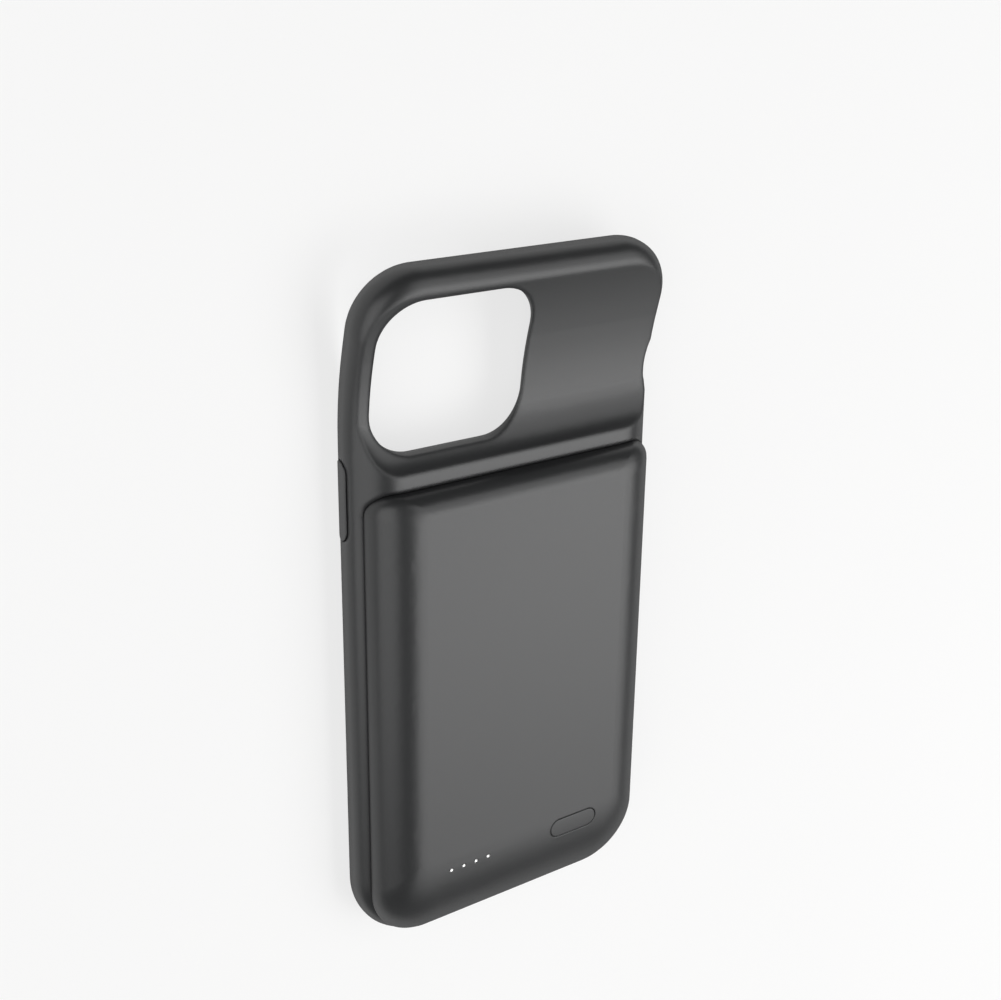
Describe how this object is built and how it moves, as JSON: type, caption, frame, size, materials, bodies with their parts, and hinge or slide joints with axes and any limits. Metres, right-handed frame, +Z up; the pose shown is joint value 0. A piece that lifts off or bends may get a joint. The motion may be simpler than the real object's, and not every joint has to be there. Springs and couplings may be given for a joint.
{
  "type": "battery charging case for a phone",
  "caption": "Slim charging case: a soft frame with a camera window bent back at the top, and a rounded battery hump behind with charge lights and a power button.",
  "frame": {"origin": "on the floor under the middle of the overall length, the case lying on its front rim", "axes": "+X right seen from the back, +Y along the length to the camera end, +Z up, out of the back"},
  "size_m": [0.0844, 0.171, 0.0189],
  "materials": {
    "soft_frame_tpu": "soft-touch satin, dark charcoal",
    "cover_polycarbonate": "soft-touch satin, dark charcoal",
    "button_polycarbonate": "soft-touch satin, dark charcoal",
    "key_polycarbonate": "soft-touch satin, dark charcoal",
    "plate_abs": "moulded, fine spark texture",
    "microfibre_lining": "short dense nap",
    "cell_pouch": "laminated foil",
    "adhesive_tape": "thin film",
    "open_cell_foam": "fine open cells",
    "circuit_board": "solder resist",
    "chip_resin": "moulded resin",
    "ferrite": "pressed and sintered",
    "ceramic": "fired ceramic",
    "led_resin": "yellowish resin",
    "diffuser": "milky, lit white",
    "switch_nylon": "moulded",
    "plunger_nylon": "moulded",
    "carrier_nylon": "moulded",
    "plug_steel": "bead blasted",
    "contact_gold": "gold plated",
    "socket_steel": "drawn and plated",
    "tab_nickel": "rolled strip",
    "screw_steel": "plated"
  },
  "bodies": {
    "case": {"soft_frame": "soft_frame_tpu", "rear_cover": "cover_polycarbonate", "inner_plate": "plate_abs", "lining_pad": "microfibre_lining", "battery_cell": "cell_pouch", "cell_tape": "adhesive_tape", "foam_pad": "open_cell_foam", "main_board": "circuit_board", "cell_board": "circuit_board", "port_board": "circuit_board", "charge_chip": "chip_resin", "boost_chip": "chip_resin", "inductor": "ferrite", "capacitors": "ceramic", "indicator_leds": "led_resin", "light_guide": "diffuser", "tactile_switch": "switch_nylon", "link_header": "switch_nylon", "charge_socket_tongue": "switch_nylon", "plug_carrier": "carrier_nylon", "phone_plug": "plug_steel", "plug_contacts": "contact_gold", "charge_socket_shell": "socket_steel", "positive_tab": "tab_nickel", "negative_tab": "tab_nickel", "plate_screws": "screw_steel", "board_screws": "screw_steel"},
    "power_button": {"power_button": "button_polycarbonate", "switch_plunger": "plunger_nylon"},
    "side_key": {"side_key": "key_polycarbonate"},
    "volume_up_key": {"volume_up_key": "key_polycarbonate"},
    "volume_down_key": {"volume_down_key": "key_polycarbonate"}
  },
  "joints": [
    {"name": "power_button_press", "type": "slide", "parent": "case", "child": "power_button", "axis": [0, 0, -1], "range_m": [0, 0.0004], "stiffness_N_per_m": 2000},
    {"name": "side_key_press", "type": "slide", "parent": "case", "child": "side_key", "axis": [1, 0, 0], "range_m": [0, 0.0005], "stiffness_N_per_m": 1500},
    {"name": "volume_up_press", "type": "slide", "parent": "case", "child": "volume_up_key", "axis": [-1, 0, 0], "range_m": [0, 0.0005], "stiffness_N_per_m": 1500},
    {"name": "volume_down_press", "type": "slide", "parent": "case", "child": "volume_down_key", "axis": [-1, 0, 0], "range_m": [0, 0.0005], "stiffness_N_per_m": 1500}
  ]
}
